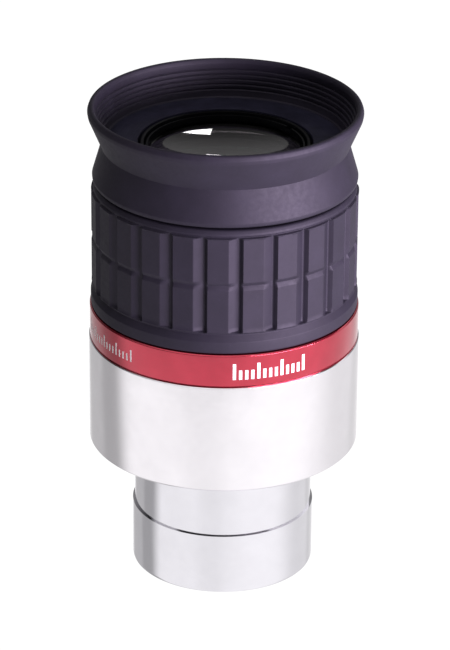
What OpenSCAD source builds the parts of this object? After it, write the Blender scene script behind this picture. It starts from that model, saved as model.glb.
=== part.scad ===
// Long eye relief telescope eyepiece for a 1.25 inch focuser, with a twist-up eyecup.
// Millimetres. The optical axis is +Z and the origin is the centre of the barrel's open end.
// Turning the padded grip drives three cam pins along helical slots in the fixed guide tube,
// so the eyecup turns with the grip and rises out of it.

/* [Nosepiece] */
// Outside diameter of the chrome nosepiece, the 1.25 inch standard
barrel_d = 31.75; // [31.6:0.05:31.8]
// Length of the nosepiece below the body's shoulder
barrel_len = 23.6; // [22:0.2:28]
// Height of the straight band below the safety undercut
barrel_land = 11; // [9:0.5:13]
// Depth of the safety undercut
undercut_depth = 0.36; // [0.1:0.02:0.5]
// Bore of the filter thread, the root diameter of M28.5 x 0.6
filter_d = 28.5; // [28.3:0.1:28.7]
// Depth of the filter thread
filter_depth = 4; // [3:0.5:5]

/* [Body] */
// Outside diameter of the polished lower body
body_d = 46.8; // [45:0.2:48]
// Height of the polished lower body
body_h = 19.5; // [18:0.5:24]
// Outside diameter of the anodised band
band_d = 46.5; // [45:0.1:47]
// Height of the anodised band
band_h = 6; // [5:0.25:8]

/* [Grip] */
// Outside diameter over the grip pads
grip_d = 45.8; // [45:0.1:46.4]
// Height of the grip
grip_h = 22.15; // [22:0.05:23]
// Number of pads around the grip
pad_count = 24; // [16:2:28]
// Depth of the grooves between the pads
pad_groove = 0.8; // [0.4:0.1:1]

/* [Eyecup] */
// Outside diameter of the eyecup's lip
lip_d = 46.9; // [46:0.1:48]
// Outside diameter of the fold line at the waist
waist_d = 42.2; // [42:0.1:43]
// Height of the lip above the eyecup's lower edge
cup_h = 13.05; // [12.5:0.05:14]
// Number of fine rings inside the lip
ring_count = 5; // [2:1:6]

/* [Motion] */
// Turn of the grip from fully down to fully up, in degrees
twist_deg = 110; // [90:5:115]
// Rise of the eyecup over that turn
rise = 9; // [6:0.5:9]
// Diameter of each cam pin
pin_d = 2.5; // [2:0.1:2.6]

/* [Optics] */
// Diameter of the six lens elements
lens_d = 27.2; // [26:0.2:27.2]
// Clear diameter of the eye lens inside its ring
eye_clear_d = 25.8; // [24:0.2:25.8]
// Opening of the field stop
stop_d = 26; // [22:0.5:26]

/* [Hidden] */

$fn = 96;
eps = 0.01;

// running and turning gaps
run_gap = 0.06;       // radial, shaft in its bore
turn_gap = 0.25;      // axial, band to grip
cup_gap = 0.45;       // axial, grip to lowered eyecup
slip_gap = 0.3;       // radial, parts that pass without guiding

// levels up the axis
z_shoulder = barrel_len;
z_body_top = z_shoulder + body_h;
z_band_top = z_body_top + band_h;
z_grip = z_band_top + turn_gap;
z_grip_top = z_grip + grip_h;
z_cup = z_grip_top + cup_gap;
z_lip = z_cup + cup_h;
z_floor = z_lip - 6.4;          // floor inside the eyecup
z_waist = z_floor - 0.4;
z_cell = z_floor - 0.1;         // top of the lens cell

// radii from the axis outwards
barrel_r = barrel_d / 2;
barrel_bore_r = 13.6;
neck_r = 14.9;
neck_h = 5;
seat_h = 0.4;                   // recess in the body that the barrel's shoulder sits in
seat_gap = 0.1;
lens_r = lens_d / 2;
cell_r = 14.6;
tube_in_r = 15;
tube_r = 16.6;
sleeve_in_r = tube_r + run_gap;
sleeve_r = 17.7;
carrier_in_r = sleeve_r + slip_gap;
carrier_r = 19.8;
core_r = 20.2;                  // eyecup sleeve's head, inside the rubber
body_r = body_d / 2;
band_r = band_d / 2;
grip_r = grip_d / 2;
lip_r = lip_d / 2;
waist_r = waist_d / 2;

// guide tube, cam pins and slots
tube_bottom = z_body_top - 7;
tube_top = z_floor - 1.8;
pin_r = pin_d / 2;
pin_z = z_band_top + 7.4;
pin_count = 3;
pin_in_r = tube_in_r + 0.35;
pin_out_r = 19.15;
slot_gap = 0.2;                 // pin to helical slot
key_gap = 0.1;                  // pin to key slot
slot_end = pin_r + slot_gap;
slot_h = rise + 2 * slot_end;
slot_twist = twist_deg * slot_h / rise;
lead = rise / (twist_deg * PI / 180);
slot_half = (slot_end / sin(atan(lead / tube_r)) / tube_r) * 180 / PI;
slot_slices = 16;
sleeve_bottom = pin_z - 2.5;

// grip retaining ring
flange_h = 1.6;
snap_z = z_grip + flange_h + 0.15;
snap_h = 1;
snap_groove_r = tube_r - 0.5;

// band screws
screw_count = 3;
screw_pitch_r = 20;
screw_r = 1;
screw_head_r = 1.9;
screw_head_h = 2;
screw_len = 7;

// lens stack, upwards from the field lens ring
z_stack = z_shoulder + 10.4;
ring_h = 2;
flint_h = 3.5;
crown_h = 5.5;
lower_gap_h = 5;
main_flint_h = 3;
middle_gap_h = 3;
middle_h = 6;
eye_lens_h = 5.1;
z_field_flint = z_stack + ring_h;
z_field_crown = z_field_flint + flint_h;
z_lower_spacer = z_field_crown + crown_h;
z_main_flint = z_lower_spacer + lower_gap_h;
z_main_crown = z_main_flint + main_flint_h;
z_middle_spacer = z_main_crown + crown_h;
z_middle_lens = z_middle_spacer + middle_gap_h;
z_upper_spacer = z_middle_lens + middle_h;
z_eye_edge = z_floor - 1.6;     // edge of the eye lens under its ring
z_eye_lens = z_eye_edge - eye_lens_h;
spacer_in_r = lens_r - 1.4;
seat_bevel = 0.75;              // slope of a spacer's end that clears a bulging lens

// points along a circular arc, from angle a0 to a1, in n steps
function arc(cx, cy, r, a0, a1, n = 6) =
    [for (i = [0 : n]) let (a = a0 + (a1 - a0) * i / n) [cx + r * cos(a), cy + r * sin(a)]];

// a plain ring between two radii and two levels
module ring(r_in, r_out, z0, z1) {
    rotate_extrude() polygon([[r_in, z0], [r_out, z0], [r_out, z1], [r_in, z1]]);
}

// a turned shape from its half section
module turned(points) {
    rotate_extrude() polygon(points);
}

// repeats its children evenly round the axis, with the first at a0
module around(count, a0 = 0) {
    for (i = [0 : count - 1]) rotate([0, 0, a0 + i * 360 / count]) children();
}

// the ball whose cap stands h above level z at radius r; flip makes the cap hang below
module lens_ball(curve_r, r, z, flip = false) {
    drop = sqrt(curve_r * curve_r - r * r);
    translate([0, 0, flip ? z + drop : z - drop]) sphere(r = curve_r, $fn = 180);
}

// a ring between two lenses, with its ends sloped back from the lenses that bulge towards it
module spacer(z0, z1, low_bevel, high_bevel) {
    turned([[lens_r, z0], [lens_r, z1], [spacer_in_r, z1 - high_bevel], [spacer_in_r, z0 + low_bevel]]);
}

// ---- fixed body ----

// chrome nosepiece with a safety undercut, a filter thread bore and a neck into the body
module nosepiece_barrel() {
    under_r = barrel_r - undercut_depth;
    land_edge = 0.5;
    under_top = z_shoulder - 3.6;
    color([0.86, 0.86, 0.9]) turned([
        [filter_d / 2, 0], [barrel_r - land_edge, 0], [barrel_r, land_edge],
        [barrel_r, barrel_land - 0.1], [barrel_r - 0.1, barrel_land], [under_r, barrel_land + 0.05],
        [under_r, under_top], [barrel_r, under_top + 1.6], [barrel_r, z_shoulder + seat_h],
        [neck_r, z_shoulder + seat_h], [neck_r, z_shoulder + neck_h],
        [barrel_bore_r, z_shoulder + neck_h], [barrel_bore_r, filter_depth + 0.6],
        [filter_d / 2, filter_depth]]);
}

// blackened sleeve with glare-stopping steps, inside the nosepiece
module barrel_baffle() {
    z0 = filter_depth + 1.4;
    z1 = z_shoulder + 0.9;
    steps = 8;
    step_h = (z1 - z0) / steps;
    thin_r = barrel_bore_r - 0.25;
    thick_r = barrel_bore_r - 0.5;
    wall = [for (i = [steps - 1 : -1 : 0]) each
        [[thick_r, z0 + (i + 1) * step_h - eps], [thin_r, z0 + i * step_h]]];
    color([0.07, 0.07, 0.07]) turned(concat(
        [[thin_r, z0 - eps], [barrel_bore_r, z0 - eps], [barrel_bore_r, z1]], wall));
}

// ring that bounds the field of view, at the top of the nosepiece's neck
module field_stop() {
    z0 = z_shoulder + 2.2;
    color([0.05, 0.05, 0.05]) turned([
        [stop_d / 2, z0 + 1.3], [stop_d / 2 + 0.4, z0], [barrel_bore_r, z0],
        [barrel_bore_r, z0 + 1.5], [stop_d / 2, z0 + 1.5]]);
}

// polished aluminium lower body: holds the nosepiece, the guide tube and the lens cell
module lower_body() {
    edge = 0.35;
    bore_r = tube_in_r - 1;
    seat_r = barrel_r + seat_gap;
    color([0.93, 0.93, 0.94]) difference() {
        turned([
            [neck_r, z_shoulder + seat_h], [seat_r, z_shoulder + seat_h], [seat_r, z_shoulder],
            [body_r - edge, z_shoulder], [body_r, z_shoulder + edge],
            [body_r, z_body_top - edge], [body_r - edge, z_body_top], [tube_r, z_body_top],
            [tube_r, tube_bottom], [tube_in_r, tube_bottom], [tube_in_r, z_stack - 0.4],
            [bore_r, z_stack - 0.4], [bore_r, z_shoulder + neck_h],
            [neck_r, z_shoulder + neck_h]]);
        around(screw_count) translate([screw_pitch_r, 0, z_band_top - screw_head_h - screw_len])
            cylinder(h = screw_len, r = screw_r);
    }
}

// anodised band between the lower body and the grip, screwed down from above
module accent_ring() {
    edge = 0.2;
    color([0.72, 0.1, 0.2]) difference() {
        turned([
            [tube_r, z_body_top], [band_r - edge, z_body_top], [band_r, z_body_top + edge],
            [band_r, z_band_top - edge], [band_r - edge, z_band_top], [tube_r, z_band_top]]);
        around(screw_count) translate([screw_pitch_r, 0, z_body_top - eps])
            cylinder(h = band_h, r = screw_r);
        around(screw_count) translate([screw_pitch_r, 0, z_band_top - screw_head_h])
            cylinder(h = screw_head_h + eps, r = screw_head_r);
    }
}

// three cap screws, hidden under the grip, that hold the band to the lower body
module band_screws() {
    socket_r = 0.9;
    color([0.25, 0.25, 0.27]) around(screw_count)
        translate([screw_pitch_r, 0, z_band_top - screw_head_h]) difference() {
            union() {
                translate([0, 0, -screw_len]) cylinder(h = screw_len, r = screw_r);
                cylinder(h = screw_head_h - 0.1, r = screw_head_r);
            }
            translate([0, 0, 0.9]) cylinder(h = screw_head_h, r = socket_r, $fn = 6);
        }
}

// one helical slot: a sector that turns as it climbs, centred on the cam pin's path
module helical_slot() {
    in_r = tube_in_r - 0.6;
    out_r = tube_r + 0.6;
    start = -90 - slot_end / lead * 180 / PI;
    translate([0, 0, pin_z - slot_end]) rotate([0, 0, start])
        linear_extrude(height = slot_h, twist = -slot_twist, slices = slot_slices, segments = 1)
            polygon(concat(arc(0, 0, in_r, slot_half, -slot_half, 4),
                arc(0, 0, out_r, -slot_half, slot_half, 4)));
}

// fixed tube that guides the eyecup, with three helical slots for the cam pins
module guide_tube() {
    o_ring_z = tube_top - 2.6;
    o_ring_w = 1.1;
    groove_r = tube_r - 0.75;
    color([0.16, 0.16, 0.17]) difference() {
        turned([
            [tube_in_r, tube_bottom], [tube_r, tube_bottom], [tube_r, snap_z],
            [snap_groove_r, snap_z], [snap_groove_r, snap_z + snap_h], [tube_r, snap_z + snap_h],
            [tube_r, o_ring_z], [groove_r, o_ring_z], [groove_r, o_ring_z + o_ring_w],
            [tube_r, o_ring_z + o_ring_w], [tube_r, tube_top - 0.4], [tube_r - 0.4, tube_top],
            [tube_in_r, tube_top]]);
        around(pin_count) helical_slot();
    }
}

// rubber ring in the guide tube's groove that makes the twist stay where it is put
module friction_o_ring() {
    section_r = 0.38;
    centre_r = tube_r - 0.75 + section_r;
    color([0.08, 0.08, 0.08]) translate([0, 0, tube_top - 2.05])
        rotate_extrude() translate([centre_r, 0]) circle(r = section_r, $fn = 32);
}

// split snap ring that keeps the grip on the guide tube
module grip_retaining_ring() {
    gap_w = 3;
    color([0.3, 0.3, 0.32]) difference() {
        ring(snap_groove_r, sleeve_r, snap_z, snap_z + snap_h);
        translate([0, -gap_w / 2, snap_z - 1]) cube([sleeve_r + 1, gap_w, snap_h + 2]);
    }
}

// tube that holds the lens stack, with two lands that centre it in the guide tube
module lens_cell() {
    foot_h = 9;
    land_z = tube_top - 6;
    lip_in_r = lens_r + 0.25;
    edge = 0.35;
    color([0.1, 0.1, 0.11]) turned([
        [lens_r, z_stack], [tube_in_r, z_stack], [tube_in_r, z_stack + foot_h],
        [cell_r, z_stack + foot_h + 0.4], [cell_r, land_z - 0.4], [tube_in_r, land_z],
        [tube_in_r, land_z + 3], [cell_r, land_z + 3.4], [cell_r, z_cell - edge],
        [cell_r - edge * 0.3, z_cell - edge * 0.3], [cell_r - edge, z_cell],
        [lip_in_r, z_cell - 0.1], [lens_r, z_eye_edge + 0.95]]);
}

// threaded ring under the field lens, with two spanner slots
module field_lens_retaining_ring() {
    color([0.09, 0.09, 0.09]) difference() {
        turned([
            [lens_r - 0.9, z_stack + ring_h], [lens_r - 1.1, z_stack], [lens_r, z_stack],
            [lens_r, z_stack + ring_h]]);
        translate([-lens_r - 1, -0.6, z_stack - 1]) cube([2 * lens_r + 2, 1.2, 1.8]);
    }
}

// concave and flat flint of the field doublet
module field_doublet_flint() {
    color([0.75, 0.85, 0.8, 0.4]) difference() {
        translate([0, 0, z_field_flint]) cylinder(h = flint_h, r = lens_r);
        lens_ball(38, lens_r, z_field_crown, flip = true);
    }
}

// biconvex crown of the field doublet, cemented to its flint
module field_doublet_crown() {
    color([0.8, 0.88, 0.9, 0.4]) intersection() {
        translate([0, 0, z_field_crown - 5]) cylinder(h = crown_h + 10, r = lens_r);
        lens_ball(38, lens_r, z_field_crown, flip = true);
        lens_ball(48, lens_r, z_lower_spacer);
    }
}

// blackened ring between the two doublets
module lower_spacer() {
    color([0.1, 0.1, 0.1]) spacer(z_lower_spacer, z_main_flint, seat_bevel, 0);
}

// flint of the main doublet, flat below and hollow above
module main_doublet_flint() {
    color([0.75, 0.85, 0.8, 0.4]) difference() {
        translate([0, 0, z_main_flint]) cylinder(h = main_flint_h, r = lens_r);
        lens_ball(44, lens_r, z_main_crown, flip = true);
    }
}

// biconvex crown of the main doublet
module main_doublet_crown() {
    color([0.8, 0.88, 0.9, 0.4]) intersection() {
        translate([0, 0, z_main_crown - 5]) cylinder(h = crown_h + 10, r = lens_r);
        lens_ball(44, lens_r, z_main_crown, flip = true);
        lens_ball(70, lens_r, z_middle_spacer);
    }
}

// blackened ring between the main doublet and the middle lens
module middle_spacer() {
    color([0.1, 0.1, 0.1]) spacer(z_middle_spacer, z_middle_lens, seat_bevel, seat_bevel);
}

// single biconvex element
module middle_lens() {
    color([0.8, 0.88, 0.9, 0.4]) intersection() {
        translate([0, 0, z_middle_lens - 5]) cylinder(h = middle_h + 10, r = lens_r);
        lens_ball(70, lens_r, z_middle_lens, flip = true);
        lens_ball(48, lens_r, z_upper_spacer);
    }
}

// blackened ring between the middle lens and the eye lens
module upper_spacer() {
    color([0.1, 0.1, 0.1]) spacer(z_upper_spacer, z_eye_lens, seat_bevel, seat_bevel);
}

// top element: convex below and gently hollow above
module eye_lens() {
    color([0.7, 0.8, 0.78, 0.4]) difference() {
        intersection() {
            translate([0, 0, z_eye_lens - 5]) cylinder(h = eye_lens_h + 5, r = lens_r);
            lens_ball(60, lens_r, z_eye_lens, flip = true);
        }
        lens_ball(90, lens_r, z_eye_edge, flip = true);
    }
}

// bevelled ring over the eye lens, with two spanner notches
module eye_lens_retaining_ring() {
    z0 = z_eye_edge;
    z1 = z_eye_edge + 1.05;
    clear_r = eye_clear_d / 2;
    color([0.06, 0.06, 0.06]) difference() {
        turned([
            [clear_r, z0], [lens_r, z0], [lens_r, z_eye_edge + 0.95], [lens_r - 0.1, z1],
            [lens_r - 0.4, z1], [clear_r, z0 + 0.3]]);
        around(2, 35) translate([clear_r + 0.25, -0.5, z1 - 0.45]) cube([lens_r, 1, 1]);
    }
}

// ---- turning grip ----

// one straight key slot, cut from the inside of the carrier, that a cam pin climbs
module key_slot() {
    half = pin_r + key_gap;
    depth_r = pin_out_r + 0.25;
    z0 = pin_z - 0.25;
    z1 = pin_z + rise + 0.25;
    translate([0, 0, z0]) rotate([90, 0, 0]) cylinder(h = depth_r, r = half);
    translate([0, 0, z1]) rotate([90, 0, 0]) cylinder(h = depth_r, r = half);
    translate([-half, -depth_r, z0]) cube([2 * half, depth_r, z1 - z0]);
}

// sleeve inside the grip: its flange turns on the guide tube and its key slots drive the pins
module grip_carrier() {
    rib_r = carrier_r - 0.6;
    rib_z = z_grip + 5;
    rib_h = 12;
    color([0.12, 0.12, 0.13]) difference() {
        turned([
            [sleeve_in_r, z_grip], [carrier_r, z_grip], [carrier_r, rib_z], [rib_r, rib_z],
            [rib_r, rib_z + rib_h], [carrier_r, rib_z + rib_h], [carrier_r, z_grip_top - 0.6],
            [carrier_in_r, z_grip_top - 0.6], [carrier_in_r, z_grip + flange_h],
            [sleeve_in_r, z_grip + flange_h]]);
        around(pin_count) key_slot();
    }
}

// half section of the grip rubber: a bead, two rows of pads with a groove between, a rounded top
function grip_section() =
    let (
        rib_r = carrier_r - 0.6,
        rib_z = z_grip + 5,
        rib_top = rib_z + 12,
        crease_r = grip_r - 0.5,
        bead_r = grip_r + 0.15,
        pad_z = z_grip + 3.6,
        pad_top = z_grip_top - 1.45,
        gap_z = (pad_z + pad_top) / 2,
        bevel = 0.25)
    concat(
        [[carrier_r, z_grip], [bead_r - 0.2, z_grip], [bead_r, z_grip + 0.2],
         [bead_r, z_grip + 2.0], [bead_r - 0.1, z_grip + 2.2], [crease_r, pad_z - 0.45],
         [crease_r, pad_z - 0.2], [grip_r - bevel, pad_z - 0.1], [grip_r, pad_z + bevel],
         [grip_r, gap_z - 0.85], [grip_r - bevel, gap_z - 0.6], [crease_r, gap_z],
         [grip_r - bevel, gap_z + 0.6], [grip_r, gap_z + 0.85],
         [grip_r, pad_top - bevel], [grip_r - bevel, pad_top], [crease_r, pad_top + 0.15]],
        arc(grip_r - 1.35, z_grip_top - 1, 1, 10, 90, 4),
        [[carrier_in_r, z_grip_top], [carrier_in_r, z_grip_top - 0.6],
         [carrier_r, z_grip_top - 0.6], [carrier_r, rib_top], [rib_r, rib_top],
         [rib_r, rib_z], [carrier_r, rib_z]]);

// one upright groove between pads: a shallow ramp on one side and a steep wall on the other
module pad_gap() {
    ramp_w = 1.75;
    wall_w = 0.7;
    over = 0.3;
    deep_r = grip_r - pad_groove;
    z0 = z_grip + 3.3;
    z1 = z_grip_top - 1.35;
    rise_ratio = (pad_groove + over) / pad_groove;
    translate([0, 0, z0]) linear_extrude(height = z1 - z0) polygon([
        [-ramp_w * rise_ratio, -grip_r - over], [-0.15, -deep_r], [0.15, -deep_r],
        [wall_w * rise_ratio, -grip_r - over]]);
}

// padded rubber grip that the fingers turn
module grip_rubber() {
    first_gap = 6.2;
    color([0.17, 0.16, 0.19]) difference() {
        turned(grip_section());
        around(pad_count, first_gap) pad_gap();
    }
}

// ---- rising eyecup ----

// sleeve that slides on the guide tube, with a wide head that carries the rubber eyecup
module eyecup_sleeve() {
    floor_r = cell_r + slip_gap;
    rib_z = z_cup + 2.3;
    rib_h = 2;
    color([0.07, 0.07, 0.08]) difference() {
        turned([
            [sleeve_in_r, sleeve_bottom], [sleeve_r, sleeve_bottom], [sleeve_r, z_cup + 0.2],
            [core_r, z_cup + 0.2], [core_r, rib_z], [core_r - 0.6, rib_z],
            [core_r - 0.6, rib_z + rib_h], [core_r, rib_z + rib_h], [core_r, z_floor],
            [floor_r + 0.2, z_floor], [floor_r, z_floor - 0.2], [floor_r, tube_top + 0.4],
            [sleeve_in_r, tube_top + 0.4]]);
        around(pin_count) translate([0, 0, pin_z]) rotate([90, 0, 0])
            cylinder(h = sleeve_r + 1, r = pin_r);
    }
}

// three steel pins, pressed through the sleeve into the helical slots and the key slots
module cam_pins() {
    color([0.7, 0.7, 0.72]) around(pin_count)
        translate([0, -pin_in_r, pin_z]) rotate([90, 0, 0])
            cylinder(h = pin_out_r - pin_in_r, r = pin_r);
}

// half section of the rubber eyecup: sloping shoulder, thin fold line, flared lip with rings
function eyecup_section() =
    let (
        rib_z = z_cup + 2.3,
        rib_top = rib_z + 2,
        shoulder_r = waist_r + 1.6,
        lip_w = 1.35,
        lip_in_r = lip_r - lip_w,
        step_r = core_r + 0.35,
        wall_z = z_floor + 0.2,
        wall_top = z_lip - lip_w / 2 - 0.4,
        slope = (lip_in_r - step_r) / (wall_top - wall_z),
        ring_pitch = 0.81,
        ring_top = z_lip - 1.9,
        ring_depth = 0.22)
    concat(
        [[core_r, z_cup + 0.2], [sleeve_r + 0.8, z_cup + 0.2], [sleeve_r + 0.8, z_cup],
         [shoulder_r - 0.7, z_cup]],
        arc(shoulder_r - 0.7, z_cup + 0.7, 0.7, -60, 0, 4),
        [[waist_r + 0.05, z_waist - 0.15], [waist_r, z_waist], [waist_r + 0.1, z_waist + 0.2]],
        arc(lip_r - lip_w / 2, z_lip - lip_w / 2, lip_w / 2, -20, 180, 10),
        [for (i = [0 : ring_count - 1]) let (z = ring_top - i * ring_pitch) each
            [[step_r + slope * (z + 0.28 - wall_z), z + 0.28],
             [step_r + slope * (z - wall_z) + ring_depth, z],
             [step_r + slope * (z - 0.12 - wall_z), z - 0.12]]],
        [[step_r, wall_z], [core_r, z_floor], [core_r, rib_top], [core_r - 0.6, rib_top],
         [core_r - 0.6, rib_z], [core_r, rib_z]]);

// soft eyecup that folds down at its waist for spectacle wearers
module eyecup_rubber() {
    color([0.19, 0.18, 0.21]) turned(eyecup_section());
}

nosepiece_barrel();
barrel_baffle();
field_stop();
lower_body();
accent_ring();
band_screws();
guide_tube();
friction_o_ring();
grip_retaining_ring();
lens_cell();
field_lens_retaining_ring();
field_doublet_flint();
field_doublet_crown();
lower_spacer();
main_doublet_flint();
main_doublet_crown();
middle_spacer();
middle_lens();
upper_spacer();
eye_lens();
eye_lens_retaining_ring();
grip_carrier();
grip_rubber();
eyecup_sleeve();
cam_pins();
eyecup_rubber();
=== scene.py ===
"""Looks of the telescope eyepiece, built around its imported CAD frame.

The scene is in metres with +Z up. Sizes below are in millimetres until a mesh is made.
"""
import math

import bpy
import numpy as np
from mathutils import Matrix, Vector


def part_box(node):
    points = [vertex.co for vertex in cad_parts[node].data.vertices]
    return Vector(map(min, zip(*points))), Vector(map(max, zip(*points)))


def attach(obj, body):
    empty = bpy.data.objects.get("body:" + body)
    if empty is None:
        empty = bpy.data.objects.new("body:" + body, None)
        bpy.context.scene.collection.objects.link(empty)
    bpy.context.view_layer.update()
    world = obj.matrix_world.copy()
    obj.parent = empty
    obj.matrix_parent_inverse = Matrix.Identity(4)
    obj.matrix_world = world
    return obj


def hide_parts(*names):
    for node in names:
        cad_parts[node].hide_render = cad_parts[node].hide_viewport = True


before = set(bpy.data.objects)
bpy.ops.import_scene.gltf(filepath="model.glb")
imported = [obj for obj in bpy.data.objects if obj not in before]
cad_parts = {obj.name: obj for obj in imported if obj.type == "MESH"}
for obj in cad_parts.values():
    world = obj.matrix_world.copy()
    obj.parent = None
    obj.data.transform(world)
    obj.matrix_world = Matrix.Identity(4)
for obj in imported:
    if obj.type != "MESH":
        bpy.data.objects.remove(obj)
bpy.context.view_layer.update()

MM = 0.001
TAU = 2 * math.pi
FRONT = -math.pi / 2  # the angle about Z that faces the camera
scene = bpy.context.scene


# ---- sizes from the frame, in millimetres ----

def low(node):
    """Height of a CAD node's lowest point."""
    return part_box(node)[0].z / MM


def high(node):
    """Height of a CAD node's highest point."""
    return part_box(node)[1].z / MM


def radius(node):
    """Outer radius of a CAD node."""
    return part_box(node)[1].x / MM


z_shoulder = low("lower_body")
z_body_top = high("lower_body")
z_band_top = high("accent_ring")
z_grip = low("grip_rubber")
z_grip_top = high("grip_rubber")
z_cup = low("eyecup_rubber")
z_lip = high("eyecup_rubber")
z_floor = high("eyecup_sleeve")
z_cell = high("lens_cell")
z_neck_top = high("nosepiece_barrel")

barrel_r = radius("nosepiece_barrel")
body_r = radius("lower_body")
band_r = radius("accent_ring")
bead_r = radius("grip_rubber")
carrier_r = radius("grip_carrier")
core_r = radius("eyecup_sleeve")
lip_r = radius("eyecup_rubber")
tube_r = radius("guide_tube")
cell_foot_r = radius("lens_cell")
lens_r = radius("eye_lens")


# ---- mesh tools ----

def outline(points):
    """A closed half section from (radius, height, rounding) corners.

    Each corner with a rounding becomes an arc, unless its two sides are almost in line.
    """
    almost_straight = math.radians(88)
    arc_step = math.radians(12)
    side_share = 0.48
    made = []
    count = len(points)
    for i, (r, z, rounding) in enumerate(points):
        here = Vector((r, z))
        to_last = Vector(points[i - 1][:2]) - here
        to_next = Vector(points[(i + 1) % count][:2]) - here
        half = to_last.angle(to_next, math.pi) / 2
        if rounding <= 0 or half > almost_straight:
            made.append((r, z))
            continue
        shorter = min(to_last.length, to_next.length)
        reach = min(rounding / math.tan(half), side_share * shorter)
        start = here + to_last.normalized() * reach
        end = here + to_next.normalized() * reach
        steps = max(2, round((math.pi - 2 * half) / arc_step))
        centre_way = (to_last.normalized() + to_next.normalized()).normalized()
        centre = here + centre_way * (reach / math.cos(half))
        arm0, arm1 = start - centre, end - centre
        turn = arm0.angle_signed(arm1)
        for k in range(steps + 1):
            a = -turn * k / steps
            c, s = math.cos(a), math.sin(a)
            turned_arm = (c * arm0.x - s * arm0.y, s * arm0.x + c * arm0.y)
            made.append((centre.x + turned_arm[0], centre.y + turned_arm[1]))
    return made


def mesh_piece(name, verts, faces, material, body, stands_for=(), slot=None, sharp=40):
    """A smooth-shaded mesh that rides on a body, with edges sharper than that angle kept crisp."""
    mesh = bpy.data.meshes.new(name)
    mesh.from_pydata(verts, [], faces)
    mesh.validate()
    mesh.polygons.foreach_set("use_smooth", [True] * len(mesh.polygons))
    mesh.set_sharp_from_angle(angle=math.radians(sharp))
    mesh.materials.append(material)
    piece = bpy.data.objects.new(name, mesh)
    scene.collection.objects.link(piece)
    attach(piece, body)
    if stands_for:
        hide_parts(*stands_for)
    return piece


def grid_faces(rows, columns):
    """Quads of a grid that closes round its columns and round its rows."""
    faces = []
    for i in range(rows):
        a, b = i * columns, ((i + 1) % rows) * columns
        for j in range(columns):
            k = (j + 1) % columns
            faces.append((a + j, a + k, b + k, b + j))
    return faces


def turned(name, points, material, body, columns=288, shape=None, angles=None, **more):
    """A turned piece from its closed outline, which shape(angle, r, z) may carve."""
    section = np.array(outline(points))
    if angles is None:
        angles = np.arange(columns) * TAU / columns
    a, r = np.meshgrid(angles, section[:, 0])
    z = np.meshgrid(angles, section[:, 1])[1]
    if shape:
        r, z = shape(a, r, z)
    verts = np.stack([r * np.cos(a), r * np.sin(a), z], -1).reshape(-1, 3) * MM
    faces = grid_faces(len(section), len(angles))
    return mesh_piece(name, verts.tolist(), faces, material, body, **more)


def smooth_min(a, b, k):
    """The lower of a and b, blended over a width of k."""
    h = np.clip(0.5 + 0.5 * (b - a) / k, 0, 1)
    return b * (1 - h) + a * h - k * h * (1 - h)


# ---- materials ----

class Nodes:
    """A short way to build the nodes of a material or the world round its shader node."""

    def __init__(self, owner, shader):
        owner.use_nodes = True
        self.tree = owner.node_tree
        self.shader = self.tree.nodes[shader]

    def add(self, kind, inputs=None, **settings):
        """A new node with its settings made and its inputs fed."""
        node = self.tree.nodes.new(kind)
        for key, value in settings.items():
            setattr(node, key, value)
        for key, value in (inputs or {}).items():
            self.feed(node, key, value)
        return node

    def feed(self, node, key, value):
        """Links another node's output to an input, or sets the input's own value."""
        if isinstance(value, bpy.types.NodeSocket):
            self.tree.links.new(value, node.inputs[key])
        else:
            node.inputs[key].default_value = value

    def set(self, **inputs):
        """Feeds the shader; an underscore stands for a space in a socket's name."""
        for key, value in inputs.items():
            self.feed(self.shader, key.replace("_", " "), value)

    def math(self, operation, a, b=0.0):
        """One step of arithmetic."""
        node = self.add("ShaderNodeMath", {0: a, 1: b}, operation=operation)
        return node.outputs[0]

    def place(self):
        """Object coordinates in millimetres."""
        coord = self.add("ShaderNodeTexCoord").outputs["Object"]
        scale = (1 / MM, 1 / MM, 1 / MM)
        return self.add("ShaderNodeMapping", {"Vector": coord, "Scale": scale}).outputs[0]

    def lathe_place(self, across=14.0):
        """Coordinates that vary fast across turning marks and slowly along them."""
        along = 0.06
        axes = self.add("ShaderNodeSeparateXYZ", {0: self.place()})
        x, y, z = axes.outputs
        squares = self.math("ADD", self.math("MULTIPLY", x, x), self.math("MULTIPLY", y, y))
        r = self.math("SQRT", squares)
        rz = self.math("ADD", self.math("MULTIPLY", r, across), self.math("MULTIPLY", z, across))
        slow_x = self.math("MULTIPLY", x, along)
        slow_y = self.math("MULTIPLY", y, along)
        return self.add("ShaderNodeCombineXYZ", {0: slow_x, 1: slow_y, 2: rz}).outputs[0]

    def noise(self, vector, scale, detail, roughness):
        """Cloudy variation; scale is in features per unit of the coordinates."""
        inputs = {"Vector": vector, "Scale": scale, "Detail": detail, "Roughness": roughness}
        return self.add("ShaderNodeTexNoise", inputs).outputs[0]

    def range(self, value, low_in, high_in, low_out, high_out):
        """A straight change from low_out to high_out, held level outside low_in and high_in."""
        inputs = {0: value, 1: low_in, 2: high_in, 3: low_out, 4: high_out}
        return self.add("ShaderNodeMapRange", inputs).outputs[0]

    def mix(self, factor, a, b):
        """A colour between a and b."""
        node = self.add("ShaderNodeMix", data_type="RGBA")
        self.feed(node, "Factor", factor)
        colours = [s for s in node.inputs if s.type == "RGBA"]
        for socket, value in zip(colours, (a, b)):
            if isinstance(value, bpy.types.NodeSocket):
                self.tree.links.new(value, socket)
            else:
                socket.default_value = (*value, 1.0)
        return [s for s in node.outputs if s.type == "RGBA"][0]

    def bump(self, height, strength, distance_mm, normal=None):
        """A bumped normal, on top of another one where it is given."""
        inputs = {"Height": height, "Strength": strength, "Distance": distance_mm * MM}
        if normal is not None:
            inputs["Normal"] = normal
        return self.add("ShaderNodeBump", inputs).outputs[0]


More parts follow.
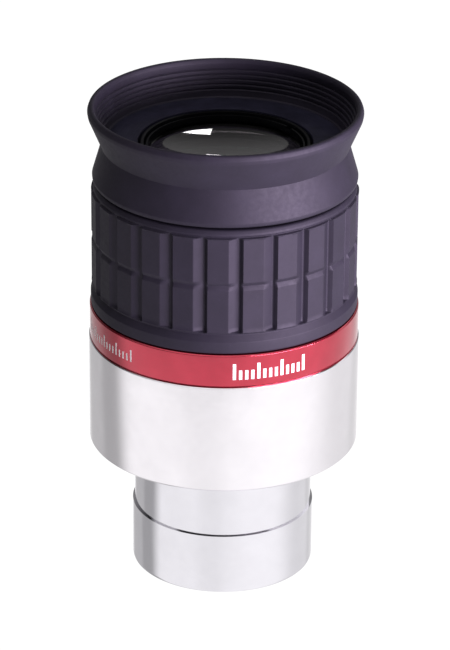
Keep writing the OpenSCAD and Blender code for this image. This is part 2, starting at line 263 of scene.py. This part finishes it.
def rubber(name, colour, roughness):
    """Moulded rubber: fine grain, faint flow marks, paler worn edges and a little dust."""
    material = bpy.data.materials.new(name)
    n = Nodes(material, "Principled BSDF")
    place = n.place()
    cloud = n.noise(place, 0.22, 4.0, 0.6)
    grain = n.noise(place, 7.0, 2.0, 0.6)
    soft = n.noise(place, 1.3, 3.0, 0.55)
    specks = n.range(n.noise(place, 3.1, 1.0, 0.4), 0.73, 0.8, 0.0, 0.35)
    edge = n.range(n.add("ShaderNodeNewGeometry").outputs["Pointiness"], 0.52, 0.62, 0.0, 0.2)
    dark = tuple(c * 0.82 for c in colour)
    light = tuple(c * 1.16 for c in colour)
    pale = tuple(min(1, c * 2.2 + 0.01) for c in colour)
    base = n.mix(n.range(cloud, 0.3, 0.7, 0.0, 1.0), dark, light)
    base = n.mix(edge, base, pale)
    base = n.mix(specks, base, pale)
    n.set(Base_Color=base)
    n.set(Roughness=n.range(soft, 0.3, 0.7, roughness - 0.03, roughness + 0.04))
    n.set(Specular_IOR_Level=0.4, Specular_Tint=(0.9, 0.82, 1.0, 1.0))
    n.set(Normal=n.bump(grain, 0.25, 0.03, n.bump(soft, 0.1, 0.05)))
    return material


def turned_metal(name, colour, roughness, marks, anisotropy):
    """Lathe-turned metal: rings of fine marks, slight colour drift and handling haze."""
    material = bpy.data.materials.new(name)
    n = Nodes(material, "Principled BSDF")
    rings = n.noise(n.lathe_place(), 1.0, 3.0, 0.6)
    fine = n.noise(n.lathe_place(60.0), 1.0, 2.0, 0.5)
    haze = n.noise(n.place(), 0.16, 4.0, 0.6)
    duller = tuple(c * 0.94 for c in colour)
    n.set(Base_Color=n.mix(n.range(haze, 0.3, 0.7, 0.0, 1.0), colour, duller))
    n.set(Metallic=1.0, Anisotropic=anisotropy)
    n.set(Tangent=n.add("ShaderNodeTangent", direction_type="RADIAL", axis="Z").outputs[0])
    rough = n.math("ADD", n.range(rings, 0.3, 0.7, 0.0, 0.05), n.range(haze, 0.3, 0.75, 0.0, 0.06))
    n.set(Roughness=n.math("ADD", rough, roughness))
    n.set(Normal=n.bump(fine, marks, 0.01, n.bump(rings, marks, 0.02)))
    return material


def anodised_red():
    """Dyed anodised aluminium under a clear sealed skin."""
    material = bpy.data.materials.new("red_anodised")
    n = Nodes(material, "Principled BSDF")
    rings = n.noise(n.lathe_place(24.0), 1.0, 3.0, 0.6)
    cloud = n.noise(n.place(), 0.2, 3.0, 0.5)
    deep = (0.46, 0.022, 0.048)
    bright = (0.56, 0.034, 0.068)
    n.set(Base_Color=n.mix(n.range(cloud, 0.25, 0.75, 0.0, 1.0), deep, bright))
    n.set(Metallic=0.9, Anisotropic=0.3, Coat_Weight=0.7, Coat_Roughness=0.1, Coat_IOR=1.6)
    n.set(Tangent=n.add("ShaderNodeTangent", direction_type="RADIAL", axis="Z").outputs[0])
    n.set(Roughness=n.range(rings, 0.3, 0.7, 0.16, 0.23))
    n.set(Normal=n.bump(rings, 0.1, 0.01))
    return material


def black_finish(name, colour, roughness, marks, specular):
    """Black anodised or blackened metal, or moulded plastic, with fine turning marks."""
    material = bpy.data.materials.new(name)
    n = Nodes(material, "Principled BSDF")
    rings = n.noise(n.lathe_place(8.0), 1.0, 4.0, 0.6)
    cloud = n.noise(n.place(), 0.35, 3.0, 0.5)
    lighter = tuple(c * 1.7 for c in colour)
    n.set(Base_Color=n.mix(n.range(cloud, 0.3, 0.7, 0.0, 1.0), colour, lighter))
    n.set(Specular_IOR_Level=specular)
    n.set(Roughness=n.range(rings, 0.3, 0.7, roughness - 0.05, roughness + 0.08))
    n.set(Normal=n.bump(rings, marks, 0.02))
    return material


def glass(name, colour, coat):
    """Polished optical glass with a thin coating's reflection and a trace of dust."""
    material = bpy.data.materials.new(name)
    n = Nodes(material, "Principled BSDF")
    dust = n.noise(n.place(), 2.6, 2.0, 0.5)
    duller = tuple(c * 0.97 for c in colour)
    n.set(Base_Color=n.mix(n.range(dust, 0.4, 0.6, 0.0, 1.0), colour, duller))
    n.set(Transmission_Weight=1.0, IOR=1.62, Coat_Weight=0.6, Coat_Roughness=0.02, Coat_IOR=1.38)
    n.set(Coat_Tint=(*coat, 1.0))
    n.set(Roughness=n.range(dust, 0.66, 0.8, 0.0, 0.05))
    return material


def paint(name, colour):
    """Pad-printed paint, faintly mottled."""
    material = bpy.data.materials.new(name)
    n = Nodes(material, "Principled BSDF")
    mottle = n.noise(n.place(), 5.0, 2.0, 0.5)
    duller = tuple(c * 0.9 for c in colour)
    n.set(Base_Color=n.mix(n.range(mottle, 0.3, 0.7, 0.0, 1.0), colour, duller))
    n.set(Roughness=n.range(mottle, 0.3, 0.7, 0.4, 0.55))
    n.set(Normal=n.bump(mottle, 0.15, 0.01))
    return material


violet_black = (0.0125, 0.0102, 0.019)
eyecup_skin = rubber("eyecup_rubber_skin", violet_black, roughness=0.61)
grip_skin = rubber("grip_rubber_skin", violet_black, roughness=0.59)
seal_skin = rubber("seal_rubber_skin", (0.01, 0.01, 0.01), roughness=0.4)
polished = turned_metal("polished_aluminium", (0.93, 0.905, 0.935),
                        roughness=0.11, marks=0.12, anisotropy=0.5)
chrome = turned_metal("chrome_plate", (0.83, 0.82, 0.86),
                      roughness=0.07, marks=0.05, anisotropy=0.2)
steel = turned_metal("bright_steel", (0.55, 0.55, 0.57),
                     roughness=0.22, marks=0.15, anisotropy=0.3)
red = anodised_red()
black_metal = black_finish("black_anodised", (0.0015, 0.0015, 0.002),
                           roughness=0.3, marks=0.06, specular=0.06)
matt_black = black_finish("matt_black", (0.003, 0.003, 0.003),
                          roughness=0.75, marks=0.35, specular=0.1)
black_plastic = black_finish("black_plastic", (0.015, 0.014, 0.026),
                             roughness=0.55, marks=0.1, specular=0.1)
clear_glass = glass("optical_glass", (0.97, 0.99, 0.98), coat=(0.85, 0.95, 0.9))
coated_glass = glass("coated_glass", (0.96, 0.96, 0.96), coat=(0.97, 0.93, 0.96))
white_paint = paint("white_marking", (0.82, 0.82, 0.82))


# ---- fixed body ----

def nosepiece():
    """Chrome barrel with its undercut, and a real filter thread in its mouth."""
    band_top = 11.0
    under_r = barrel_r - 0.36
    under_top = z_shoulder - 3.6
    under_slope = 1.6
    neck_r, neck_z = 14.9, z_shoulder + 0.4
    bore = lens_r
    mouth = 14.25
    thread_end = 4.0
    ridge_start, ridge_end = 0.5, thread_end - 0.2
    runout = 0.6
    turned("nosepiece_barrel_chrome", [
        (mouth, 0, 0.15), (barrel_r - 0.1, 0, 0.7), (barrel_r, 0.5, 0.6),
        (barrel_r, band_top, 0), (under_r, band_top, 0),
        (under_r, under_top, 0.4), (barrel_r, under_top + under_slope, 0.3),
        (barrel_r, neck_z, 0), (neck_r, neck_z, 0), (neck_r, z_neck_top, 0.2),
        (bore, z_neck_top, 0.1), (bore, thread_end + runout, 0.1), (mouth, thread_end, 0.1)],
        chrome, "root", stands_for=["nosepiece_barrel"], slot="chrome_plate")
    helix_ridge("filter_thread", mouth, ridge_start, ridge_end, pitch=0.6, height=0.32)


def helix_ridge(name, r, z0, z1, pitch, height):
    """The ridge of an inside thread as one swept triangle that dies away at both ends."""
    columns = 128
    turns = (z1 - z0) / pitch
    steps = int(turns * columns)
    half = pitch * 0.36
    root_r = r + 0.04
    least_share = 0.08
    run_in = columns / 6
    verts = []
    for i in range(steps + 1):
        a = TAU * i / columns
        z = z0 + pitch * i / columns
        ends = min(i, steps - i) / run_in
        peak = r - height * min(1.0, least_share + ends)
        for rr, zz in ((root_r, z - half), (peak, z), (root_r, z + half)):
            verts.append((rr * math.cos(a) * MM, rr * math.sin(a) * MM, zz * MM))
    faces = []
    for i in range(steps):
        for k in range(3):
            a, b = 3 * i + k, 3 * i + (k + 1) % 3
            faces.append((a, b, b + 3, a + 3))
    faces += [(0, 2, 1), (3 * steps, 3 * steps + 1, 3 * steps + 2)]
    mesh_piece(name, verts, faces, chrome, "root", slot="chrome_plate", sharp=30)


def body_shell():
    """Polished lower body with small chamfers, and the bores for the nosepiece and the tube."""
    neck_r, seat_r, seat_z = 14.92, barrel_r + 0.1, z_shoulder + 0.42
    bevel = 0.35
    top, top_bevel = z_body_top - 0.02, 0.12
    side_top = z_body_top - 0.14
    tube_foot = z_body_top - 6.5
    well_top_r, well_top = 15.2, z_body_top - 7
    well_foot_r, well_foot = 15.05, z_shoulder + 10
    bore, bore_top, bore_foot = 14.0, z_shoulder + 9.9, z_neck_top + 0.05
    turned("lower_body_polished", [
        (neck_r, seat_z, 0), (seat_r, seat_z, 0), (seat_r, z_shoulder, 0.05),
        (body_r - bevel, z_shoulder, 0.15), (body_r, z_shoulder + bevel, 0.15),
        (body_r, side_top, 0.04), (body_r - top_bevel, top, 0.03),
        (tube_r, top, 0), (tube_r, tube_foot, 0), (well_top_r, well_top, 0),
        (well_foot_r, well_foot, 0), (bore, bore_top, 0), (bore, bore_foot, 0),
        (neck_r, z_neck_top + 0.04, 0)],
        polished, "root", columns=360, stands_for=["lower_body"], slot="polished_aluminium")


def band():
    """Red anodised band with a fine groove at its lower edge and a chamfer at its upper edge."""
    groove_r = band_r - 0.35
    bevel = 0.2
    turned("accent_ring_anodised", [
        (tube_r, z_body_top, 0), (groove_r, z_body_top, 0.05), (groove_r, z_body_top + 0.2, 0.04),
        (band_r, z_body_top + 0.3, 0.08), (band_r, z_band_top - bevel, 0.1),
        (band_r - bevel, z_band_top, 0.08), (tube_r, z_band_top, 0)],
        red, "root", columns=360, stands_for=["accent_ring"], slot="red_anodised")


def band_marks():
    """Plain white index lines on the band: a bold scale at the right and a fine one at the left."""
    z_mid = (z_body_top + z_band_top) / 2
    verts, faces = [], []
    out_r, in_r = band_r + 0.02, band_r - 0.05

    def bar(angle, half_w, z0, z1):
        """One upright printed line, as a thin closed block."""
        base = len(verts)
        for z in (z0, z1):
            for r, side in ((out_r, -1), (out_r, 1), (in_r, 1), (in_r, -1)):
                a = angle + side * half_w / band_r
                verts.append((r * math.cos(a) * MM, r * math.sin(a) * MM, z * MM))
        quads = [(0, 1, 5, 4), (1, 2, 6, 5), (2, 3, 7, 6), (3, 0, 4, 7), (3, 2, 1, 0), (4, 5, 6, 7)]
        faces.extend(tuple(base + k for k in quad) for quad in quads)

    def scale(start_deg, count, step, half_w, tall, short):
        """A row of lines that stand on one level, with every fourth one tall."""
        foot = z_mid - tall / 2
        for i in range(count):
            height = tall if i % 4 == 0 else short
            angle = FRONT + math.radians(start_deg) + i * step / band_r
            bar(angle, half_w, foot, foot + height)

    scale(4.5, count=13, step=1.04, half_w=0.27, tall=2.9, short=1.7)
    scale(-80, count=17, step=0.95, half_w=0.15, tall=2.2, short=1.3)
    mesh_piece("band_marks", verts, faces, white_paint, "root", slot="red_anodised")


def cell():
    """Top of the lens cell: a rounded edge round the recess of the eye lens."""
    foot = low("lens_cell")
    foot_top = foot + 9
    wall, wall_foot = 14.6, foot + 9.4
    recess_top_r, recess_floor = lens_r + 0.3, z_cell - 0.95
    turned("lens_cell_black", [
        (lens_r, foot, 0), (cell_foot_r, foot, 0.2), (cell_foot_r, foot_top, 0.2),
        (wall, wall_foot, 0), (wall, z_cell, 0.28), (recess_top_r, z_cell - 0.05, 0.15),
        (lens_r, recess_floor, 0.1)],
        black_metal, "root", columns=256, stands_for=["lens_cell"], slot="black_anodised")


def lens_ring():
    """Bevelled ring that holds the eye lens, with two spanner notches."""
    z0, z1 = low("eye_lens_retaining_ring"), high("eye_lens_retaining_ring")
    clear = 12.9
    rim_r, flat_r = lens_r - 0.02, lens_r - 0.42
    inner_edge = z0 + 0.3
    notch_at, notch_half, notch_floor = math.radians(35), 0.6, z1 - 0.42
    notch_r = clear + 0.2

    def notch(a, r, z):
        """Cuts two opposite notches down into the ring's top."""
        off = np.abs((a - notch_at + math.pi / 2) % math.pi - math.pi / 2) * r
        cut = (off < notch_half) & (z > notch_floor) & (r > notch_r)
        return r, np.where(cut, notch_floor, z)

    turned("eye_lens_ring", [
        (clear, z0, 0), (rim_r, z0, 0), (rim_r, z1, 0.1), (flat_r, z1, 0.08),
        (clear, inner_edge, 0.08)],
        black_metal, "root", columns=720, shape=notch, stands_for=["eye_lens_retaining_ring"],
        slot="black_anodised")


def eye_lens():
    """Top element: a finely meshed hollow face, a bulging underside and a ground edge."""
    z_tip, z_edge = low("eye_lens"), high("eye_lens")
    curve, under_curve = 90.0, 60.0
    rings = 24
    rim, tip = lens_r - 0.02, 0.02
    reach = [tip + (rim - tip) * i / rings for i in range(rings + 1)]
    bottom = [(r, z_tip + under_curve - math.sqrt(under_curve ** 2 - r * r), 0) for r in reach]
    drop = math.sqrt(curve ** 2 - lens_r ** 2)
    top = [(r, z_edge + drop - math.sqrt(curve ** 2 - r * r), 0) for r in reversed(reach)]
    turned("eye_lens_glass", bottom + top, coated_glass, "root", columns=192,
           stands_for=["eye_lens"], slot="coated_glass", sharp=30)


# ---- turning grip ----

def grip():
    """Padded grip: a bead, two rows of flat pads with ramped gaps, and a rounded top."""
    pads = 24
    pitch = TAU / pads
    first_gap = FRONT + math.radians(6.2)
    pad_r = bead_r - 0.15
    face_r = pad_r - 0.03
    crease_r = pad_r - 0.5
    row_r = pad_r - 0.38
    deep_r = pad_r - 0.8
    pad_z = z_grip + 3.6
    pad_top = z_grip_top - 1.45
    gap_z = (pad_z + pad_top) / 2
    # how far a gap's shallow side, steep side and flat bottom reach round, as angles
    ramp, wall, bottom = 1.75 / pad_r, 0.7 / pad_r, 0.15 / pad_r
    half_flat = (pitch - ramp - wall) / 2
    closing_slope = 2.5
    blend = 0.07
    bead_top = z_grip + 2.05
    inner_top_r = core_r - 2.2
    under_top = z_grip_top - 0.6

    def carve(a, r, z):
        """Cuts the upright gaps, with a shallow ramp on one side and a steep wall on the other."""
        t = (a - first_gap + ramp) % pitch - ramp
        down = np.clip((-t - bottom) / (ramp - bottom), 0, 1)
        up = np.clip((t - bottom) / (wall - bottom), 0, 1)
        share = np.where(t < 0, down, up)
        middle = (wall + pitch - ramp) / 2
        off_middle = np.clip(t - middle, -half_flat, half_flat)
        flat = face_r * math.cos(half_flat) / np.cos(off_middle)
        plateau = np.where(t >= wall, flat, face_r)
        gap_r = deep_r + (plateau - deep_r) * share
        past_end = np.maximum(0, np.maximum(pad_z + 0.2 - z, z - pad_top + 0.1))
        gap_r = gap_r + past_end * closing_slope
        outside = r > carrier_r + 1
        return np.where(outside, smooth_min(r, gap_r, blend), r), z

    # columns stand close together in each gap and further apart across each pad
    marks = [-ramp, -ramp * 0.97, -ramp * 0.9, -ramp * 0.6, -ramp * 0.3, -bottom * 1.6, -bottom,
             0, bottom, bottom * 1.8, wall * 0.5, wall * 0.85, wall, wall * 1.12]
    rest = np.linspace(wall * 1.3, pitch - ramp * 1.08, 12)
    period = np.concatenate([marks, rest])
    angles = np.concatenate([first_gap + k * pitch + period for k in range(pads)])

    def pad_side(start, length):
        """Eleven levels up the face of one row of pads."""
        return [(pad_r, start + length * i / 10, 0) for i in range(11)]

    section = [
        (carrier_r, z_grip, 0), (bead_r - 0.05, z_grip, 0.2), (bead_r, z_grip + 0.3, 0.1),
        (bead_r, bead_top, 0.22), (crease_r, pad_z - 0.45, 0.12), (crease_r, pad_z - 0.22, 0.08),
        (pad_r, pad_z + 0.05, 0.16)]
    section += pad_side(pad_z + 0.3, gap_z - 1.3 - pad_z)
    section += [(pad_r, gap_z - 0.8, 0.2), (row_r, gap_z - 0.08, 0.1), (row_r, gap_z + 0.08, 0.1),
                (pad_r, gap_z + 0.7, 0.2)]
    section += pad_side(gap_z + 1.0, pad_top - gap_z - 1.3)
    section += [
        (pad_r, pad_top, 0.16), (crease_r, pad_top + 0.2, 0.1),
        (crease_r + 0.15, pad_top + 0.42, 0.12), (pad_r - 0.38, pad_top + 0.75, 0.3),
        (pad_r - 0.75, z_grip_top, 0.55), (inner_top_r, z_grip_top, 0.2),
        (inner_top_r, under_top, 0), (carrier_r, under_top, 0)]
    turned("grip_rubber_padded", section, grip_skin, "grip", shape=carve, angles=angles,
           stands_for=["grip_rubber"], slot="grip_rubber", sharp=55)


# ---- rising eyecup ----

def eyecup():
    """Soft eyecup: sloping shoulder, thin fold line, flared lip with stepped rings inside."""
    waist_r = 21.1
    z_waist = z_floor - 0.4
    shoulder_r = waist_r + 1.6
    foot_r, foot_step = 18.6, z_cup + 0.2
    lip_w = 1.35
    lip_in = lip_r - lip_w
    step_r = core_r + 0.35
    rings = 5
    ring_top = z_lip - 1.9
    ring_pitch = 0.81
    ring_in = (lip_in - step_r - 0.25) / rings
    section = [
        (core_r, foot_step, 0), (foot_r, foot_step, 0), (foot_r, z_cup, 0.1),
        (shoulder_r - 0.1, z_cup, 0.55), (shoulder_r, z_cup + 0.8, 0.5), (waist_r, z_waist, 0.14),
        (lip_r - 0.12, z_lip - 1.55, 0.6), (lip_r, z_lip - 0.85, 0.5), (lip_r - 0.3, z_lip, 0.55),
        (lip_in + 0.3, z_lip, 0.45), (lip_in, z_lip - 0.7, 0.4)]
    for i in range(rings):
        z = ring_top - i * ring_pitch
        r = lip_in - i * ring_in
        section += [(r, z + 0.2, 0.05), (r + 0.1, z + 0.02, 0.04),
                    (r - ring_in + 0.04, z - 0.1, 0.07)]
    section += [
        (step_r + 0.25, ring_top - rings * ring_pitch + 0.5, 0.1), (step_r, z_floor + 0.12, 0.12),
        (core_r, z_floor, 0.05)]
    turned("eyecup_rubber_soft", section, eyecup_skin, "eyecup", columns=360,
           stands_for=["eyecup_rubber"], slot="eyecup_rubber", sharp=50)


def sleeve_head():
    """Sliding sleeve: its flat top is the floor inside the eyecup."""
    bottom = low("eyecup_sleeve")
    bore, outer, floor_bore = tube_r + 0.06, 17.7, 14.9
    head_r, head_foot = core_r - 0.02, z_cup + 0.22
    under = high("guide_tube") + 0.4
    turned("eyecup_sleeve_black", [
        (bore, bottom, 0.1), (outer, bottom, 0.15), (outer, head_foot, 0), (head_r, head_foot, 0),
        (head_r, z_floor, 0.1), (floor_bore, z_floor, 0.18), (floor_bore, under, 0.05),
        (bore, under, 0)],
        black_plastic, "eyecup", columns=256, stands_for=["eyecup_sleeve"], slot="black_plastic")


# ---- the frame's own pieces ----

def finish_cad_nodes():
    """Gives each CAD node that stays its material."""
    looks = {
        matt_black: ["barrel_baffle", "field_stop", "field_lens_retaining_ring", "lower_spacer",
                     "middle_spacer", "upper_spacer"],
        steel: ["band_screws", "grip_retaining_ring", "cam_pins"],
        black_metal: ["guide_tube"],
        seal_skin: ["friction_o_ring"],
        black_plastic: ["grip_carrier"],
        clear_glass: ["field_doublet_flint", "field_doublet_crown", "main_doublet_flint",
                      "main_doublet_crown", "middle_lens"],
    }
    for material, names in looks.items():
        for name in names:
            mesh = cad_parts[name].data
            mesh.materials.clear()
            mesh.materials.append(material)


# ---- studio ----

def studio():
    """White light from below the horizon, a dim sky with two strips, a low key and a small window.

    Azimuth 0 is the camera's side and positive is to its right. Heights are those of a direction
    of length 1, so -1 is straight down and 0 is the horizon.
    """
    strip_height, strip_half, strip_end = 0.416, 0.05, 0.08
    world = bpy.data.worlds.new("studio")
    scene.world = world
    n = Nodes(world, "Background")
    way = n.add("ShaderNodeTexCoord").outputs["Generated"]
    x, y, z = n.add("ShaderNodeSeparateXYZ", {0: way}).outputs
    azimuth = n.math("ARCTAN2", x, n.math("MULTIPLY", y, -1.0))

    def fade(value, start, end, first, last):
        """A smooth change from first to last as a value goes from start to end."""
        inputs = {0: value, 1: start, 2: end, 3: first, 4: last}
        return n.add("ShaderNodeMapRange", inputs, interpolation_type="SMOOTHSTEP").outputs[0]

    def patch(centre, inner, outer):
        """1 within inner degrees of an azimuth, fading to 0 at outer."""
        off = n.math("ABSOLUTE", n.math("SUBTRACT", azimuth, math.radians(centre)))
        return fade(off, math.radians(inner), math.radians(outer), 1.0, 0.0)

    def total(start, *shares):
        """A level with weighted patches added to it."""
        for weight, spot in shares:
            start = n.math("ADD", start, n.math("MULTIPLY", spot, weight))
        return start

    # each share below is a weight and a patch: its middle azimuth and its two half widths
    # the darker patches at -114 and -130 are a painted shadow of the eyepiece on the table,
    # opposite the key
    table = total(1.02,
                  (-0.12, patch(-114, 8, 16)),
                  (-0.5, patch(-130, 26, 44)),
                  (0.1, patch(52, 10, 60)),
                  (-0.07, patch(-16, 4, 26)),
                  (-0.2, patch(122, 6, 52)),
                  (-0.2, patch(154, 6, 20)))
    strips = total(0.0, (0.9, patch(-82, 18, 24)), (1.1, patch(112, 44, 52)))
    off_strip = n.math("ABSOLUTE", n.math("SUBTRACT", z, strip_height))
    strips = n.math("MULTIPLY", strips, fade(off_strip, strip_half, strip_end, 1.0, 0.0))
    back = n.math("MULTIPLY", n.range(y, 0.3, 0.9, 0.0, 1.0), fade(z, 0.38, 0.66, 0.28, 0.03))
    overhead = n.math("MULTIPLY", fade(z, 0.5, 0.95, 0.02, 1.1), fade(y, -0.1, 0.5, 1.0, 0.06))
    sky = n.math("ADD", n.math("ADD", back, overhead), strips)
    above = fade(z, -0.33, -0.2, 0.0, 1.0)
    below = n.math("SUBTRACT", 1.0, above)
    level = n.math("ADD", n.math("MULTIPLY", sky, above), n.math("MULTIPLY", table, below))
    n.set(Color=(1.0, 0.99, 1.0, 1.0), Strength=level)
    area_light("key", azimuth=51, elevation=4, distance=0.9, wide=0.95, tall=0.2,
               watts=26, colour=(1.0, 0.9, 1.04))
    area_light("window", azimuth=176.4, elevation=35, distance=0.8, wide=0.054, tall=0.045,
               watts=0.07, colour=(1.0, 1.0, 1.0))


def floor():
    """Plain white floor that shines, so it holds no shadow. It isn't seen in reflections."""
    radius_m, drop_m, columns = 1.5, 0.0002, 96
    glow = bpy.data.materials.new("studio_floor")
    n = Nodes(glow, "Principled BSDF")
    n.set(Base_Color=(0.0, 0.0, 0.0, 1.0), Roughness=1.0, Specular_IOR_Level=0.0)
    n.set(Emission_Color=(1.0, 1.0, 1.0, 1.0), Emission_Strength=1.05)
    angles = [TAU * i / columns for i in range(columns)]
    edge = [(radius_m * math.cos(a), radius_m * math.sin(a), -drop_m) for a in angles]
    mesh = bpy.data.meshes.new("studio_floor")
    mesh.from_pydata(edge, [], [range(columns)])
    mesh.materials.append(glow)
    sheet = bpy.data.objects.new("studio_floor", mesh)
    scene.collection.objects.link(sheet)
    sheet.visible_diffuse = False
    sheet.visible_glossy = False
    sheet.visible_transmission = False
    sheet.visible_volume_scatter = False
    sheet.visible_shadow = False


def area_light(name, azimuth, elevation, distance, wide, tall, watts, colour):
    """A panel aimed at the object's middle, with its distance and sizes in metres."""
    middle = Vector((0, 0, 0.05))
    a, e = math.radians(azimuth), math.radians(elevation)
    way = Vector((math.sin(a) * math.cos(e), -math.cos(a) * math.cos(e), math.sin(e)))
    data = bpy.data.lights.new(name, "AREA")
    data.shape = "RECTANGLE"
    data.size = wide
    data.size_y = tall
    data.energy = watts
    data.color = colour
    lamp = bpy.data.objects.new(name, data)
    lamp.location = middle + way * distance
    lamp.rotation_mode = "QUATERNION"
    lamp.rotation_quaternion = (-way).to_track_quat("-Z", "Y")
    scene.collection.objects.link(lamp)


def camera():
    """Long lens from above the front, rolled by half a degree."""
    pitch, roll = math.radians(24.63), math.radians(0.47)
    distance = 0.64
    aim_x = 0.00018
    aim_share = 0.5195  # of the height up to the lip
    aim = Vector((aim_x, 0, aim_share * z_lip * MM))
    place = Vector((0, -distance * math.cos(pitch), aim.z + distance * math.sin(pitch)))
    forward = (aim - place).normalized()
    right = forward.cross(Vector((0, 0, 1))).normalized()
    up = right.cross(forward)
    c, s = math.cos(roll), math.sin(roll)
    right, up = c * right + s * up, c * up - s * right
    data = bpy.data.cameras.new("camera")
    data.lens = 204.2
    data.sensor_width = 36
    data.clip_start = 0.01
    shot = bpy.data.objects.new("camera", data)
    rotation = Matrix((right, up, -forward)).transposed()
    shot.matrix_world = Matrix.Translation(place) @ rotation.to_4x4()
    scene.collection.objects.link(shot)
    scene.camera = shot


camera()
studio()
floor()
finish_cad_nodes()
nosepiece()
body_shell()
band()
band_marks()
cell()
lens_ring()
eye_lens()
grip()
eyecup()
sleeve_head()

scene.view_settings.view_transform = "Standard"
